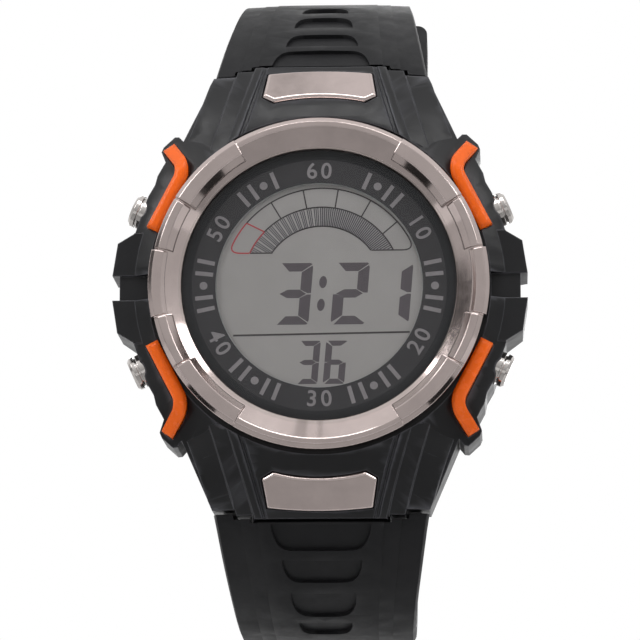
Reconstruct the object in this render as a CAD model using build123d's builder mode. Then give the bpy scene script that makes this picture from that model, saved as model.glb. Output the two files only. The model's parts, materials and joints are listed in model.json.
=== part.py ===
from build123d import *
import math
import os

# Digital sports watch with a resin case, four pushers and an open strap loop.
# X points to 3 o'clock and Z to 12 o'clock, and the dial faces -Y.
# The origin is the centre of the case back's outer face, and heights run from it towards the viewer.

# Case
case_length = 49.6
case_width = 41.8
guard_width = 46.6
watch_height = 14.0
seam_width = 24.4
floor_height = 0.4
hood_root_reach = 13.0
hood_root_height = 12.9
hood_root_drop = 22.0
hood_middle_reach = 18.9
hood_middle_height = 11.8
hood_middle_drop = 12.0
seam_height = 8.4
seam_drop = 5.0
seam_fall_share = 0.62
hood_step = 0.3
hood_groove_width = 0.2
hood_groove_depth = 0.3
dome_top_height = 11.4
dome_top_radius = 19.2
dome_edge_height = 5.0
dome_edge_radius = 28.6
guard_height = 10.3
guard_half_length = 5.1
guard_block_reach = 6.3
guard_notch_width = 2.8
guard_notch_depth = 0.8
guard_channel_depth = 0.35
back_bevel_width = 3.4
back_bevel_height = 2.9
overrun = 20.0

# Bezel, lens and dial
bezel_diameter = 37.5
bezel_bore = 30.8
bezel_seat_height = 11.0
bezel_inner_height = 12.2
bezel_rim_height = 13.65
bezel_bulge = 0.3
bezel_fit = 0.05
bezel_edge = 0.5
bezel_slope_drop = 0.75
bezel_rim_share = 0.32
bezel_foot_share = 0.3
wide_land_share = 0.42
narrow_land_share = 0.6
side_land_share = 0.66
pad_step = 0.12
pad_gap_angle = 0.8
lens_thickness = 1.3
lens_edge = 0.25
dial_ring_bore = 23.2
dial_ring_thickness = 0.4
print_gap = 0.05

# Display and movement
cavity_diameter = 29.0
ledge_bore = 27.4
ledge_thickness = 0.8
lcd_diameter = 26.8
lcd_thickness = 1.6
lcd_flat_width = 24.6
backlight_diameter = 24.0
backlight_flat_width = 21.8
backlight_thickness = 0.5
connector_length = 11.0
connector_width = 1.1
board_diameter = 24.6
board_thickness = 0.8
board_height = 6.6
chip_diameter = 7.0
chip_thickness = 0.9
chip_offset = 3.0
crystal_diameter = 1.5
crystal_length = 5.0
crystal_offset = 6.4
battery_diameter = 20.0
battery_thickness = 3.0
battery_gap = 0.15
holder_wall = 1.9
clip_strip_width = 6.0
clip_strip_thickness = 0.25
module_foot_height = 2.7
module_clearance = 0.2
shelf_bore = 22.8
fit_gap = 0.1
buzzer_diameter = 17.0
buzzer_thickness = 0.35
chip_taper = 30.0
clip_hole_share = 0.28

# Case back
back_diameter = 31.0
back_thickness = 1.5
back_corner_offset = 12.2
back_corner_radius = 2.3
back_fit = 0.12
gasket_diameter = 30.4
gasket_width = 0.7
gasket_height = 0.6
screw_head_diameter = 2.6
screw_head_height = 0.8
screw_head_recess = 0.1
screw_shank_diameter = 1.3
screw_length = 4.2
screw_slot_width = 0.4
screw_slot_share = 0.8

# Pushers
pusher_angle = 24.2
pusher_height = 7.8
pusher_reach = 23.2
pusher_diameter = 3.8
pusher_travel = 0.8
pusher_cap_length = 3.2
pusher_edge = 0.3
pusher_groove = 0.25
pusher_fit = 0.06
stem_diameter = 1.7
stem_end_reach = 13.4
counterbore_reach = 17.8
spring_wire = 0.3
spring_gap = 0.25
clip_thickness = 0.35
clip_diameter = 3.0
clip_reach = 14.35
neck_diameter = 1.1

# Trims and hood plates
trim_width = 1.5
trim_height = 12.0
trim_foot_height = 7.2
trim_bar_foot = 10.1
trim_hook_height = 8.7
trim_hook_length = 3.9
trim_fit = 0.05
trim_edge = 0.35
trim_bend = 2.4
plate_middle_reach = 22.9
plate_middle_height = 9.84
plate_slope = 31.5
plate_thickness = 0.8
plate_proud = 0.35
plate_edge = 0.25

# Strap pins and knuckles
pin_diameter = 1.6
pin_fit = 0.05
pin_length = 21.0
pin_height = 3.4
pin_reach = 23.4
knuckle_radius = 2.4
knuckle_width = 15.4
knuckle_gap = 0.3
seam_gap = 0.35

# Strap
strap_thickness = 2.6
strap_root_thickness = 3.6
upper_strap_width = 19.4
lower_strap_width = 20.2
strap_tip_width = 18.4
root_lead = 1.6
upper_start_angle = 48.0
upper_radius = 40.6
upper_end_angle = 16.0
upper_straight = 16.0
lower_start_angle = 59.0
lower_radius = 23.8
lower_back_radius = 44.0
lower_end_angle = 101.0
strap_edge = 0.7
strap_fade_share = 0.08
tip_round_length = 6.0
rib_depth = 0.55
rib_narrow_share = 0.84
rib_round_share = 0.4
hole_count = 9
hole_pitch = 6.0
hole_width = 3.2
hole_length = 1.9
first_hole_distance = 9.0

# Buckle and keeper
buckle_width = 24.0
buckle_length = 16.0
buckle_rail_width = 1.5
buckle_bar_width = 2.6
buckle_thickness = 1.8
buckle_corner = 3.5
buckle_angle = 48.0
buckle_pin_diameter = 1.3
buckle_pin_inset = 1.5
prong_width = 2.2
prong_thickness = 1.0
prong_gap = 0.06
prong_slot_depth = 2.4
prong_slot_gap = 0.3
keeper_length = 5.0
keeper_wall = 1.2
keeper_gap = 0.35
keeper_room = 6.0
keeper_distance = 4.0
ear_share = 0.85
prong_tip_share = 0.6
buckle_edge_share = 0.15

# Worked out from the sizes above
half = 0.5
half_length = case_length * half
half_width = case_width * half
seam_half = seam_width * half
guard_half = guard_width * half
bezel_radius = bezel_diameter * half
cavity_radius = cavity_diameter * half
lens_base_height = bezel_seat_height + dial_ring_thickness + print_gap
lens_radius = bezel_bore * half - bezel_fit
lcd_base_height = bezel_seat_height - lcd_thickness
backlight_base_height = lcd_base_height - backlight_thickness
board_top_height = board_height + board_thickness
ledge_height = bezel_seat_height - ledge_thickness
module_radius = cavity_radius - module_clearance


def front_plane(height):
    """Plane at this height over the case back, facing the viewer of the dial."""
    return Plane.XZ.offset(height)


# Radial profiles give a radius and a height, side profiles a height and a reach towards 12 o'clock.
profile_plane = Plane(origin=(0, 0, 0), x_dir=(1, 0, 0), z_dir=(0, 0, -1))
side_plane = Plane(origin=(0, 0, 0), x_dir=(0, -1, 0), z_dir=(-1, 0, 0))


def four_quarters(points):
    """Closed outline from the points of its upper right quarter, listed from the top to the side."""
    lower_right = [(x, -z) for x, z in reversed(points)]
    lower_left = [(-x, -z) for x, z in points]
    upper_left = [(-x, z) for x, z in reversed(points)]
    return points + lower_right + lower_left + upper_left


def radial_plane(angle, reach):
    """Plane square to a pusher's axis, at this reach from the middle of the watch."""
    direction = (math.cos(math.radians(angle)), 0, math.sin(math.radians(angle)))
    origin = (reach * direction[0], -pusher_height, reach * direction[2])
    return Plane(origin=origin, x_dir=(0, 1, 0), z_dir=direction)


pusher_angles = {
    "upper_right": pusher_angle,
    "upper_left": 180 - pusher_angle,
    "lower_left": 180 + pusher_angle,
    "lower_right": -pusher_angle,
}

# Upper right quarter of the case outline, as shares of its half width and half length
seam_shares = [(0.358, 1.042), (0.364, 1.024), (0.452, 1.024), (0.458, 1.0)]
shoulder_shares = [
    (0.742, 0.69), (0.768, 0.716), (0.792, 0.718), (0.853, 0.671), (0.864, 0.648), (0.838, 0.593)]
flank_shares = [(0.88, 0.528), (0.892, 0.484), (0.928, 0.431), (1.0, 0.25)]
quarter_outline = [(half_width * x, half_length * z) for x, z in seam_shares]
quarter_outline += [(seam_half, half_length)]
quarter_outline += [(half_width * x, half_length * z) for x, z in shoulder_shares + flank_shares]
quarter_outline += [
    (guard_half * 0.975, guard_half_length), (guard_half, guard_notch_width * half),
    (guard_half - guard_notch_depth, guard_notch_width * half),
]

# Hood cross-sections, as shares of the seam's half width: two step edges and the outer edge, then the groove
hood_seam_shares = (0.585, 0.745, 0.97)
hood_middle_shares = (0.765, 0.925, 1.17)
hood_root_shares = (0.92, 1.08, 1.36)
hood_groove_shares = (0.795, 0.645, 0.47)
step_drop_shares = (0.04, 0.09, 0.2)
middle_step_share = 0.75
hood_end = half_length + hood_step * 6
hood_end_height = seam_height - (hood_end - half_length) * seam_fall_share


def stepped_half(width_shares, unit_width, top, drop, step):
    """Right half of a cross-section with two steps: from its first step to its outer edge."""
    points = []
    for index, (share, drop_share) in enumerate(zip(width_shares, step_drop_shares)):
        edge = unit_width * share
        level = top - drop * drop_share - step * index
        points.append((edge, level))
        if index < len(width_shares) - 1:
            points.append((edge + step * half, level - step))
    return points


def hood_half(width_shares, groove_share, top, drop, step):
    """Right half of a hood's cross-section: a middle panel, a groove beside it, and two steps."""
    groove = seam_half * groove_share
    floor = top - hood_groove_depth
    return [
        (0, top), (groove, top), (groove + hood_groove_width * half, floor),
        (groove + hood_groove_width * 2, floor), (groove + hood_groove_width * 3, top),
    ] + stepped_half(width_shares, seam_half, top, drop, step)


def mirrored_face_points(points, base):
    """Closed outline of a mirrored half section over a flat base."""
    right = points + [(points[-1][0], base)]
    return right + [(-x, h) for x, h in reversed(right[1:])]


def hood_plane(reach):
    """Plane across the watch at this reach, where a profile gives a half width and a height."""
    return Plane(origin=(0, 0, reach), x_dir=(1, 0, 0), z_dir=(0, 0, -1))


# Trim route, upper right, as shares of the bezel's radius: hook, elbow and lower end
trim_route_shares = [(0.915, 0.877), (0.805, 0.717), (0.998, 0.344)]
trim_hook, trim_elbow, trim_end = [(bezel_radius * x, bezel_radius * z) for x, z in trim_route_shares]
trim_angle = math.degrees(math.atan2(trim_hook[1] - trim_elbow[1], trim_hook[0] - trim_elbow[0]))

# Hood plate, upper: corners as shares of the seam's half width and the half length, and two middle reaches
plate_corner_shares = [(0.418, 0.847), (0.529, 0.875), (0.486, 0.998)]
plate_corners = [(seam_half * x, half_length * z) for x, z in plate_corner_shares]
plate_middle_shares = (0.871, 1.012)
plate_middle_low, plate_middle_high = [half_length * share for share in plate_middle_shares]

hood_normal = Vector(0, -math.cos(math.radians(plate_slope)), math.sin(math.radians(plate_slope)))
plate_plane = Plane(origin=(0, -plate_middle_height, plate_middle_reach), x_dir=(1, 0, 0), z_dir=hood_normal)


def plate_outline(grow):
    """Edges of a hood plate grown by this much: an arc at the bezel, slanted ends and a bowed outer edge."""
    stretch = math.cos(math.radians(plate_slope))
    inner, shoulder, outer = [
        (x + grow, (z - plate_middle_reach) / stretch + grow * side)
        for (x, z), side in zip(plate_corners, (-1, -half, 1))
    ]
    low = (0, (plate_middle_low - plate_middle_reach) / stretch - grow)
    high = (0, (plate_middle_high - plate_middle_reach) / stretch + grow)
    ThreePointArc((-inner[0], inner[1]), low, inner)
    Polyline(inner, shoulder, outer)
    ThreePointArc(outer, high, (-outer[0], outer[1]))
    Polyline((-outer[0], outer[1]), (-shoulder[0], shoulder[1]), (-inner[0], inner[1]))


# Trim ribbon, upper right, with its top sloping down along the hook
trim_wedge_plane = Plane(
    origin=(trim_elbow[0], 0, trim_elbow[1]),
    x_dir=(math.cos(math.radians(trim_angle)), 0, math.sin(math.radians(trim_angle))),
    z_dir=(math.sin(math.radians(trim_angle)), 0, -math.cos(math.radians(trim_angle))),
)


def trim_solid(width, headroom):
    """One trim of this width in the upper right corner, or its groove, with headroom above it."""
    top = trim_height + headroom
    hook_top = trim_hook_height + headroom
    with BuildPart() as ribbon:
        with BuildSketch(front_plane(trim_foot_height)):
            with BuildLine() as route:
                FilletPolyline(trim_hook, trim_elbow, trim_end, radius=trim_bend)
            trace(route.line, width)
        extrude(amount=top - trim_foot_height)
        with BuildSketch(trim_wedge_plane):
            with BuildLine():
                Polyline(
                    (-overrun, trim_bar_foot), (-overrun, top), (trim_edge, top),
                    (trim_hook_length, hook_top), (overrun, hook_top), (overrun, trim_foot_height),
                    (trim_hook_length, trim_foot_height), (trim_edge, trim_bar_foot), close=True,
                )
            make_face()
        extrude(amount=overrun, both=True, mode=Mode.INTERSECT)
    return ribbon.part


def quadrants(solid):
    """A solid of the upper right corner, mirrored into all four, by name."""
    left = mirror(solid, about=Plane.YZ)
    return {
        "upper_right": solid,
        "upper_left": left,
        "lower_left": mirror(left, about=Plane.XY),
        "lower_right": mirror(solid, about=Plane.XY),
    }


def back_plate_sketch(grow):
    """Outline of the case back, grown by this much: a disc with four corners for the screws."""
    Circle(back_diameter * half + grow)
    square_half = back_corner_offset + back_corner_radius + grow
    RectangleRounded(square_half * 2, square_half * 2, back_corner_radius + grow)


# Resin case: domed body, hoods and guards in one moulding, hollow for the movement
with BuildPart() as case:
    with BuildSketch(profile_plane):
        with BuildLine():
            Polyline(
                (0, floor_height), (dome_edge_radius, floor_height), (dome_edge_radius, dome_edge_height),
                (dome_top_radius, dome_top_height), (0, dome_top_height), close=True,
            )
        make_face()
    revolve(axis=Axis.Y)
    for reach, top, drop, step, shares, groove_share in (
        (hood_root_reach, hood_root_height, hood_root_drop, hood_step * half,
         hood_root_shares, hood_groove_shares[0]),
        (hood_middle_reach, hood_middle_height, hood_middle_drop, hood_step * middle_step_share,
         hood_middle_shares, hood_groove_shares[1]),
        (hood_end, hood_end_height, seam_drop, hood_step, hood_seam_shares, hood_groove_shares[2]),
    ):
        with BuildSketch(hood_plane(reach)):
            with BuildLine():
                section = hood_half(shares, groove_share, top, drop, step)
                Polyline(mirrored_face_points(section, floor_height), close=True)
            make_face()
    hood = loft()
    mirror(hood, about=Plane.XY)
    with BuildSketch(front_plane(floor_height)):
        Rectangle(guard_width, guard_block_reach * 2)
    extrude(amount=guard_height - floor_height)
    with BuildSketch(front_plane(floor_height)):
        with BuildLine():
            Polyline(four_quarters(quarter_outline), close=True)
        make_face()
    extrude(amount=watch_height - floor_height, mode=Mode.INTERSECT)

    # Channel across each guard and the bevel under it
    with BuildSketch(front_plane(guard_height - guard_channel_depth)):
        with Locations((guard_half, 0), (-guard_half, 0)):
            Rectangle((guard_half - bezel_radius) * 2 - guard_notch_depth, guard_notch_width)
    extrude(amount=overrun, mode=Mode.SUBTRACT)
    bevel_base = guard_half - back_bevel_width
    with BuildSketch(hood_plane(0)):
        for side in (1, -1):
            with BuildLine():
                Polyline(
                    (side * bevel_base, floor_height - fit_gap),
                    (side * (guard_half + fit_gap), floor_height - fit_gap),
                    (side * (guard_half + fit_gap), floor_height + back_bevel_height), close=True,
                )
            make_face()
    extrude(amount=half_length, both=True, mode=Mode.SUBTRACT)

    # Bezel seat, cavity and the ledge that carries the dial ring
    with BuildSketch(front_plane(bezel_seat_height)):
        Circle(bezel_radius + bezel_bulge + fit_gap)
    extrude(amount=overrun, mode=Mode.SUBTRACT)
    with BuildSketch(front_plane(floor_height)):
        Circle(cavity_radius)
    extrude(amount=ledge_height - floor_height, mode=Mode.SUBTRACT)
    with BuildSketch(front_plane(floor_height)):
        Circle(ledge_bore * half)
    extrude(amount=watch_height, mode=Mode.SUBTRACT)

    # Case back recess, gasket groove and screw holes
    with BuildSketch(front_plane(0)):
        back_plate_sketch(back_fit)
    extrude(amount=back_thickness, mode=Mode.SUBTRACT)
    with BuildSketch(front_plane(back_thickness)):
        Circle(gasket_diameter * half)
        Circle(gasket_diameter * half - gasket_width, mode=Mode.SUBTRACT)
    extrude(amount=gasket_height, mode=Mode.SUBTRACT)
    with BuildSketch(front_plane(back_thickness)):
        with GridLocations(back_corner_offset * 2, back_corner_offset * 2, 2, 2):
            Circle(screw_shank_diameter * half)
    extrude(amount=screw_length - back_thickness, mode=Mode.SUBTRACT)

    # Pusher bores
    for angle in pusher_angles.values():
        with BuildSketch(radial_plane(angle, counterbore_reach)):
            Circle(pusher_diameter * half + pusher_fit)
        extrude(amount=overrun, mode=Mode.SUBTRACT)
        with BuildSketch(radial_plane(angle, stem_end_reach)):
            Circle(stem_diameter * half + pusher_fit)
        extrude(amount=overrun, mode=Mode.SUBTRACT)

    # Pockets for the strap knuckles, open to the back, with blind pin holes in the lugs beside them
    pocket_radius = knuckle_radius + knuckle_gap
    with BuildSketch(side_plane) as pocket:
        with Locations((pin_height, pin_reach)):
            Circle(pocket_radius)
            Rectangle(overrun, overrun, align=(Align.MAX, Align.CENTER))
            Rectangle(pocket_radius, overrun, align=(Align.MIN, Align.MIN))
        with Locations((pin_height - overrun, pin_reach - pocket_radius)):
            Rectangle(overrun * 2, overrun, align=(Align.MIN, Align.MAX), mode=Mode.SUBTRACT)
    pocket_cut = extrude(amount=knuckle_width * half + knuckle_gap, both=True, mode=Mode.SUBTRACT)
    mirror(pocket_cut, about=Plane.XY, mode=Mode.SUBTRACT)
    with BuildSketch(side_plane):
        with Locations((pin_height, pin_reach), (pin_height, -pin_reach)):
            Circle(pin_diameter * half + pin_fit)
    extrude(amount=pin_length * half + pin_fit, both=True, mode=Mode.SUBTRACT)

    # Seats for the trims and the hood plates
    for groove in quadrants(trim_solid(trim_width + trim_fit * 2, overrun)).values():
        add(groove, mode=Mode.SUBTRACT)
    with BuildSketch(plate_plane.offset(plate_proud - plate_thickness)):
        with BuildLine():
            plate_outline(fit_gap)
        make_face()
    plate_seat = extrude(amount=overrun, mode=Mode.SUBTRACT)
    mirror(plate_seat, about=Plane.XY, mode=Mode.SUBTRACT)

# Bezel ring: a sloped base ring with raised pads, parted by step lines. Upper pads run from angle to angle.
wide_pads = [(31, 60), (120, 149)]
narrow_pads = [(12, 31), (149, 168)]
side_pads = [(-12, 12), (168, 192)]
bore_radius = bezel_bore * half
rim_land = bezel_radius - bore_radius
pad_kinds = [
    (wide_pads, wide_land_share, watch_height, bezel_radius),
    (narrow_pads, narrow_land_share, watch_height - pad_step, bezel_radius),
    (side_pads, side_land_share, bezel_rim_height + pad_step, bezel_radius + bezel_bulge),
]


def pad_profile(land_share, top, outer):
    """Half profile of a bezel pad: its land starts at this share of the ring's width."""
    land = bore_radius + rim_land * land_share
    foot = bezel_seat_height + lens_edge
    return [
        (bore_radius + rim_land * bezel_foot_share, foot), (outer, foot), (outer, top - bezel_edge),
        (outer - bezel_edge, top), (land, top), (land - bezel_slope_drop, top - bezel_slope_drop),
    ]


with BuildPart() as bezel:
    with BuildSketch(profile_plane):
        with BuildLine():
            Polyline(
                (bore_radius, bezel_seat_height), (bezel_radius, bezel_seat_height),
                (bezel_radius, bezel_rim_height - bezel_edge), (bezel_radius - bezel_edge, bezel_rim_height),
                (bezel_radius - rim_land * bezel_rim_share, bezel_rim_height),
                (bore_radius, bezel_inner_height), close=True,
            )
        make_face()
    revolve(axis=Axis.Y)
    for spans, land_share, top, outer in pad_kinds:
        for start, end in spans:
            with BuildSketch(profile_plane.rotated((0, start + pad_gap_angle * half, 0))):
                with BuildLine():
                    Polyline(pad_profile(land_share, top, outer), close=True)
                make_face()
            pad = revolve(axis=Axis.Y, revolution_arc=end - start - pad_gap_angle, mode=Mode.PRIVATE)
            add(pad)
            if spans is not side_pads:
                add(mirror(pad, about=Plane.XY, mode=Mode.PRIVATE))

# Lens, held in the bezel's bore
with BuildPart() as lens:
    with BuildSketch(front_plane(lens_base_height)):
        Circle(lens_radius)
    extrude(amount=lens_thickness)
    chamfer(lens.edges().sort_by(Axis.Y)[0], lens_edge)

# Printed ring between the lens and the case's ledge
with BuildPart() as dial_ring:
    with BuildSketch(front_plane(bezel_seat_height)):
        Circle(lens_radius)
        Circle(dial_ring_bore * half, mode=Mode.SUBTRACT)
    extrude(amount=dial_ring_thickness)

# Liquid crystal glass with two flats
with BuildPart() as lcd_glass:
    with BuildSketch(front_plane(lcd_base_height)):
        Circle(lcd_diameter * half)
        Rectangle(lcd_diameter, lcd_flat_width, mode=Mode.INTERSECT)
    extrude(amount=lcd_thickness)

with BuildPart() as backlight_panel:
    with BuildSketch(front_plane(backlight_base_height)):
        Circle(backlight_diameter * half)
        Rectangle(backlight_diameter, backlight_flat_width, mode=Mode.INTERSECT)
    extrude(amount=backlight_thickness)

# Two rubber connectors between the glass and the board
connector_reach = backlight_flat_width * half + fit_gap + connector_width * half
with BuildPart() as display_connectors:
    with BuildSketch(front_plane(board_top_height)):
        with Locations((0, connector_reach), (0, -connector_reach)):
            Rectangle(connector_length, connector_width)
    extrude(amount=lcd_base_height - board_top_height)

# Module frame: a stepped ring with slots for the connectors and the pusher stems
frame_wall_radius = board_diameter * half + fit_gap
with BuildPart() as module_frame:
    with BuildSketch(profile_plane):
        with BuildLine():
            Polyline(
                (frame_wall_radius, module_foot_height), (module_radius, module_foot_height),
                (module_radius, ledge_height), (lcd_diameter * half + fit_gap, ledge_height),
                (lcd_diameter * half + fit_gap, backlight_base_height),
                (shelf_bore * half, backlight_base_height), (shelf_bore * half, board_top_height),
                (frame_wall_radius, board_top_height), close=True,
            )
        make_face()
    revolve(axis=Axis.Y)
    with BuildSketch(front_plane(board_height)):
        with Locations((0, connector_reach), (0, -connector_reach)):
            Rectangle(connector_length + fit_gap * 2, connector_width + fit_gap * 2)
    extrude(amount=lcd_base_height - board_height, mode=Mode.SUBTRACT)
    slot_size = clip_diameter + fit_gap * 4
    for angle in pusher_angles.values():
        with BuildSketch(radial_plane(angle, stem_end_reach - pusher_travel - fit_gap * 2)):
            Rectangle(slot_size, slot_size)
        extrude(amount=overrun, mode=Mode.SUBTRACT)

with BuildPart() as circuit_board:
    with BuildSketch(front_plane(board_height)):
        Circle(board_diameter * half)
    extrude(amount=board_thickness)

# Driver chip under its round drop of resin, on the board's display side
with BuildPart() as driver_chip:
    with BuildSketch(front_plane(board_top_height)):
        with Locations((chip_offset, 0)):
            Circle(chip_diameter * half)
    extrude(amount=chip_thickness, taper=chip_taper)

# Quartz crystal can, lying on the board
with BuildPart() as quartz_crystal:
    crystal_axis_height = board_top_height + crystal_diameter * half
    crystal_plane = Plane(
        origin=(-crystal_offset, -crystal_axis_height, -crystal_length * half), z_dir=(0, 0, 1))
    with BuildSketch(crystal_plane):
        Circle(crystal_diameter * half)
    extrude(amount=crystal_length)

battery_base_height = board_height - battery_gap - battery_thickness
with BuildPart() as coin_battery:
    with BuildSketch(front_plane(battery_base_height)):
        Circle(battery_diameter * half)
    extrude(amount=battery_thickness)

# Holder ring around the battery
with BuildPart() as battery_holder:
    with BuildSketch(front_plane(module_foot_height)):
        Circle(board_diameter * half)
        Circle(battery_diameter * half + fit_gap, mode=Mode.SUBTRACT)
    extrude(amount=board_height - module_foot_height)

# Sprung strip across the battery
with BuildPart() as battery_clip:
    with BuildSketch(front_plane(module_foot_height - clip_strip_thickness)):
        Rectangle(board_diameter - holder_wall, clip_strip_width)
        Circle(clip_strip_width * clip_hole_share, mode=Mode.SUBTRACT)
    extrude(amount=clip_strip_thickness)

# Piezo buzzer disc on the inside of the case back
with BuildPart() as piezo_buzzer:
    with BuildSketch(front_plane(back_thickness)):
        Circle(buzzer_diameter * half)
    extrude(amount=buzzer_thickness)

# Case back plate with counterbored corners
with BuildPart() as case_back:
    with BuildSketch(front_plane(0)):
        back_plate_sketch(0)
    extrude(amount=back_thickness)
    with BuildSketch(front_plane(0)):
        with GridLocations(back_corner_offset * 2, back_corner_offset * 2, 2, 2):
            Circle(screw_head_diameter * half + pin_fit)
    extrude(amount=screw_head_height + screw_head_recess, mode=Mode.SUBTRACT)
    with BuildSketch(front_plane(0)):
        with GridLocations(back_corner_offset * 2, back_corner_offset * 2, 2, 2):
            Circle(screw_shank_diameter * half + pin_fit)
    extrude(amount=back_thickness, mode=Mode.SUBTRACT)

with BuildPart() as back_screws:
    with BuildSketch(front_plane(screw_head_recess)):
        with GridLocations(back_corner_offset * 2, back_corner_offset * 2, 2, 2):
            Circle(screw_head_diameter * half)
    extrude(amount=screw_head_height)
    with BuildSketch(front_plane(screw_head_recess)):
        with GridLocations(back_corner_offset * 2, back_corner_offset * 2, 2, 2):
            Circle(screw_shank_diameter * half)
    extrude(amount=screw_length - screw_head_recess)
    with BuildSketch(front_plane(screw_head_recess)):
        with GridLocations(back_corner_offset * 2, back_corner_offset * 2, 2, 2):
            Rectangle(screw_head_diameter * screw_slot_share, screw_slot_width)
    extrude(amount=screw_head_height * half, mode=Mode.SUBTRACT)

with BuildPart() as back_gasket:
    with BuildSketch(front_plane(back_thickness)):
        Circle(gasket_diameter * half)
        Circle(gasket_diameter * half - gasket_width, mode=Mode.SUBTRACT)
    extrude(amount=gasket_height)

# Hood plates, and the same plate at 6 o'clock
with BuildPart() as plate_upper:
    with BuildSketch(plate_plane.offset(plate_proud - plate_thickness)):
        with BuildLine():
            plate_outline(0)
        make_face()
    extrude(amount=plate_thickness)
    plate_top = plate_upper.faces().sort_by(Axis((0, 0, 0), hood_normal))[-1]
    chamfer(plate_top.edges(), plate_edge)

with BuildPart() as plate_lower:
    add(mirror(plate_upper.part, about=Plane.XY))

# Orange trims, with softened top edges
with BuildPart() as trim_corner:
    add(trim_solid(trim_width, 0))
    trim_tops = trim_corner.faces().filter_by(Axis.Y).sort_by(Axis.Y)[0]
    chamfer(trim_tops.edges(), trim_edge)
trims = quadrants(trim_corner.part)

# Pushers: a round cap with one groove, a stem with a neck for its clip, and a spring
cap_start_reach = pusher_reach - pusher_cap_length
clip_start_reach = clip_reach - clip_thickness
pushers = {}
pusher_springs = {}
pusher_clips = {}
for corner, angle in pusher_angles.items():
    with BuildPart() as pusher:
        with BuildSketch(radial_plane(angle, cap_start_reach)):
            Circle(pusher_diameter * half)
        extrude(amount=pusher_cap_length)
        outer_axis = Axis((0, 0, 0), radial_plane(angle, 0).z_dir)
        chamfer(pusher.edges().sort_by(outer_axis)[-1], pusher_edge)
        with BuildSketch(radial_plane(angle, pusher_reach - pusher_groove * 4)):
            Circle(pusher_diameter)
            Circle(pusher_diameter * half - pusher_groove, mode=Mode.SUBTRACT)
        extrude(amount=pusher_groove, mode=Mode.SUBTRACT)
        with BuildSketch(radial_plane(angle, stem_end_reach)):
            Circle(stem_diameter * half)
        extrude(amount=cap_start_reach - stem_end_reach)
        with BuildSketch(radial_plane(angle, clip_start_reach)):
            Circle(stem_diameter)
            Circle(neck_diameter * half, mode=Mode.SUBTRACT)
        extrude(amount=clip_thickness, mode=Mode.SUBTRACT)
    pushers[corner] = pusher.part
    with BuildPart() as clip:
        with BuildSketch(radial_plane(angle, clip_start_reach)):
            Circle(clip_diameter * half)
            Circle(neck_diameter * half, mode=Mode.SUBTRACT)
            Rectangle(clip_diameter, neck_diameter, align=(Align.MIN, Align.CENTER), mode=Mode.SUBTRACT)
        extrude(amount=clip_thickness)
    pusher_clips[corner] = clip.part
    with BuildPart() as spring:
        with BuildSketch(radial_plane(angle, counterbore_reach + fit_gap * half)):
            Circle(stem_diameter * half + spring_gap + spring_wire)
            Circle(stem_diameter * half + spring_gap, mode=Mode.SUBTRACT)
        extrude(amount=cap_start_reach - counterbore_reach - fit_gap)
    pusher_springs[corner] = spring.part

# Spring pins of the strap
pins = {}
for corner, reach in (("upper", pin_reach), ("lower", -pin_reach)):
    with BuildPart() as pin:
        with BuildSketch(side_plane):
            with Locations((pin_height, reach)):
                Circle(pin_diameter * half)
        extrude(amount=pin_length * half, both=True)
    pins[corner] = pin.part

# Strap route, as the line of its outer face: a short lead that the seam trims, one arc from the seam, and then
# a straight or a second arc
seam_reach = half_length * seam_shares[0][1]
seam_start = (-(seam_height - (seam_reach + seam_gap - half_length) * seam_fall_share), seam_reach + seam_gap)


def direction(angle):
    """Unit direction in the loop plane at this angle from +Y."""
    return (math.cos(math.radians(angle)), math.sin(math.radians(angle)))


def lead_line(start, angle):
    """Straight lead into a route's start, along its first direction."""
    along = direction(angle)
    return Line((start[0] - along[0] * root_lead, start[1] - along[1] * root_lead), start)


with BuildLine(Plane.YZ) as upper_route:
    upper_lead = lead_line(seam_start, upper_start_angle)
    upper_arc = JernArc(
        upper_lead @ 1, direction(upper_start_angle), upper_radius, -(upper_start_angle + upper_end_angle))
    Line(upper_arc @ 1, upper_arc @ 1 + upper_arc % 1 * upper_straight)
upper_wire = upper_route.wire()

with BuildLine(Plane.YZ) as lower_route:
    lower_lead = lead_line((seam_start[0], -seam_start[1]), -lower_start_angle)
    lower_arc = JernArc(
        lower_lead @ 1, direction(-lower_start_angle), lower_radius, lower_start_angle)
    JernArc(lower_arc @ 1, lower_arc % 1, lower_back_radius, lower_end_angle)
lower_wire = lower_route.wire()


def route_plane(wire, distance):
    """Plane across a strap at this distance along its outer face, with its second axis pointing inwards."""
    share = distance / wire.length
    tangent = wire.tangent_at(share)
    inward = 1 if wire is upper_wire else -1
    return Plane(origin=wire.position_at(share), x_dir=(inward, 0, 0), z_dir=tangent)


def strap_section(distance, length, radius, start_angle, end_half_width, tip_half_width):
    """Closed outline across a strap: a stepped crown that fades out at the top of its arc, and soft edges.

    The distance runs from the seam, so it is negative on the lead.
    """
    turn = math.radians(start_angle)
    left = turn * max(0.0, 1 - distance / (radius * turn))
    along = (math.cos(left) - math.cos(turn)) / (1 - math.cos(turn))
    fade = 1 - along
    beyond = max(0.0, distance - radius * turn) / (length - radius * turn)
    width = seam_half * fade + end_half_width * along
    width += (tip_half_width - end_half_width) * beyond
    thickness = strap_thickness + (strap_root_thickness - strap_thickness) * fade
    crown = fade + strap_fade_share
    points = [(0, 0)] + stepped_half(hood_seam_shares, width, 0, -seam_drop * crown, -hood_step * crown)
    edge = points[-1][1] + strap_edge
    points += [(width, edge), (width, thickness - strap_edge), (width - strap_edge, thickness)]
    return points + [(-x, depth) for x, depth in reversed(points[1:])]


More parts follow.
